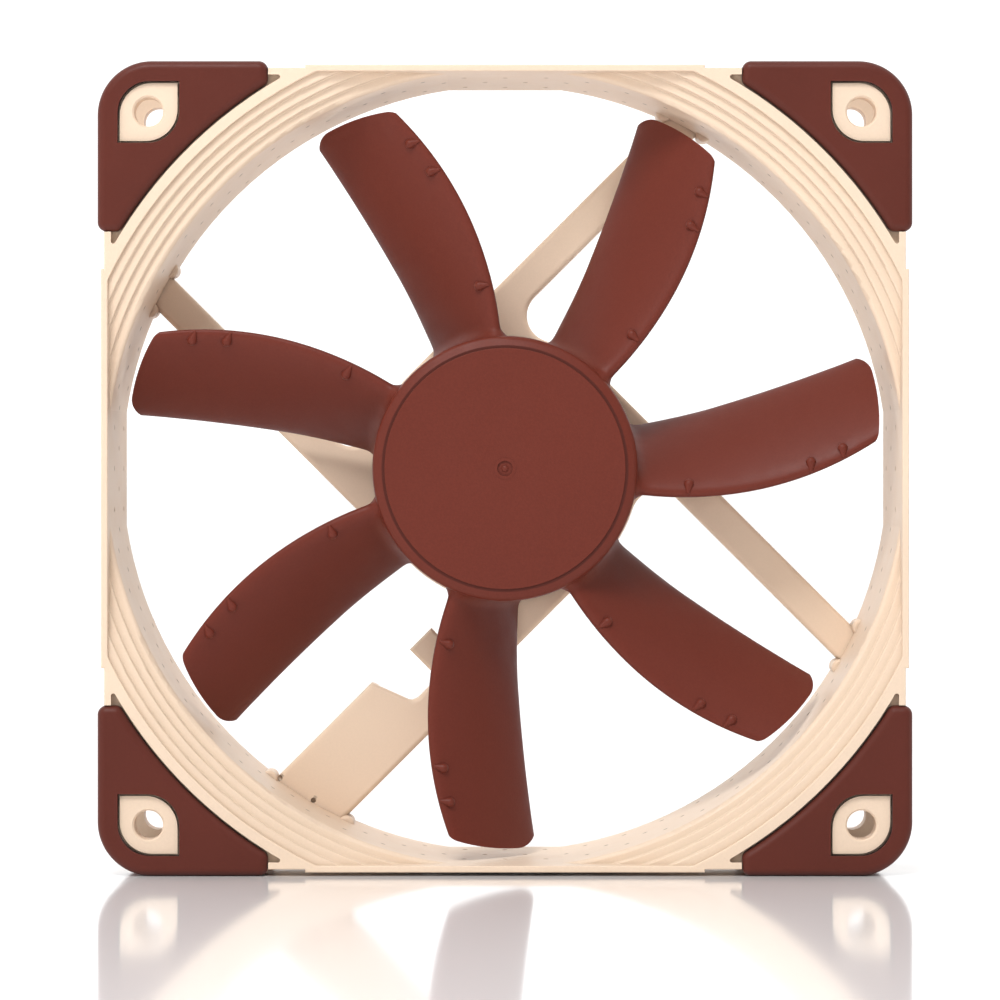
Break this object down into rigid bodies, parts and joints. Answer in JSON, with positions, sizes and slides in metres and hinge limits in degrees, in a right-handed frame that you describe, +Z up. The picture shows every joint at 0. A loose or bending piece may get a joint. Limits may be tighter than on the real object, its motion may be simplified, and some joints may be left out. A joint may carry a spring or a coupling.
{
  "type": "case fan",
  "caption": "Square computer case fan with a cream frame, stepped inlet and brown corner pads; the brown impeller turns freely on a brushless motor.",
  "frame": {"origin": "middle of the fan, halfway through its depth on the impeller's axis", "axes": "-Y out of the intake side, +Y out of the exhaust side, +Z up, +X to the right seen from the intake"},
  "size_m": [0.12, 0.025, 0.12],
  "materials": {
    "frame": "fine satin moulded cream plastic",
    "pad": "soft satin brown silicone",
    "impeller": "fine grained brown plastic",
    "steel": "plain deep-drawn steel",
    "hard_steel": "ground and hardened",
    "clip": "spring steel",
    "ferrite": "dark bonded ferrite",
    "brass": "turned brass",
    "bronze": "oiled sintered bronze",
    "seal": "natural nylon",
    "thrust_plastic": "low-friction plastic",
    "magnet_nickel": "nickel plated",
    "core_steel": "stacked electrical steel",
    "insulator": "black nylon bobbin",
    "copper": "enamelled copper wire",
    "board": "green solder mask",
    "chip": "black epoxy",
    "capacitor": "fired ceramic",
    "label": "plain laminated sticker"
  },
  "bodies": {
    "frame": {"frame": "frame", "front_pad_top_right": "pad", "front_pad_top_left": "pad", "front_pad_bottom_left": "pad", "front_pad_bottom_right": "pad", "rear_pad_top_right": "pad", "rear_pad_top_left": "pad", "rear_pad_bottom_left": "pad", "rear_pad_bottom_right": "pad", "bearing_tube": "brass", "bearing_sleeve": "bronze", "oil_seal_ring": "seal", "thrust_pad": "thrust_plastic", "stabiliser_magnet": "magnet_nickel", "stator_core": "core_steel", "upper_insulator": "insulator", "lower_insulator": "insulator", "winding_pins": "clip", "coil_right": "copper", "coil_top": "copper", "coil_left": "copper", "coil_bottom": "copper", "circuit_board": "board", "driver_chip": "chip", "hall_sensor": "chip", "chip_capacitors": "capacitor", "chip_resistors": "chip", "rear_label": "label"},
    "rotor": {"impeller": "impeller", "rotor_yoke": "steel", "rotor_magnet": "ferrite", "shaft_bush": "brass", "shaft": "hard_steel", "retaining_clip": "clip", "oil_slinger": "clip"}
  },
  "joints": [
    {"name": "rotor_spin", "type": "hinge", "parent": "frame", "child": "rotor", "pos_m": [0, 0, 0], "axis": [0, 1, 0], "continuous": true}
  ]
}
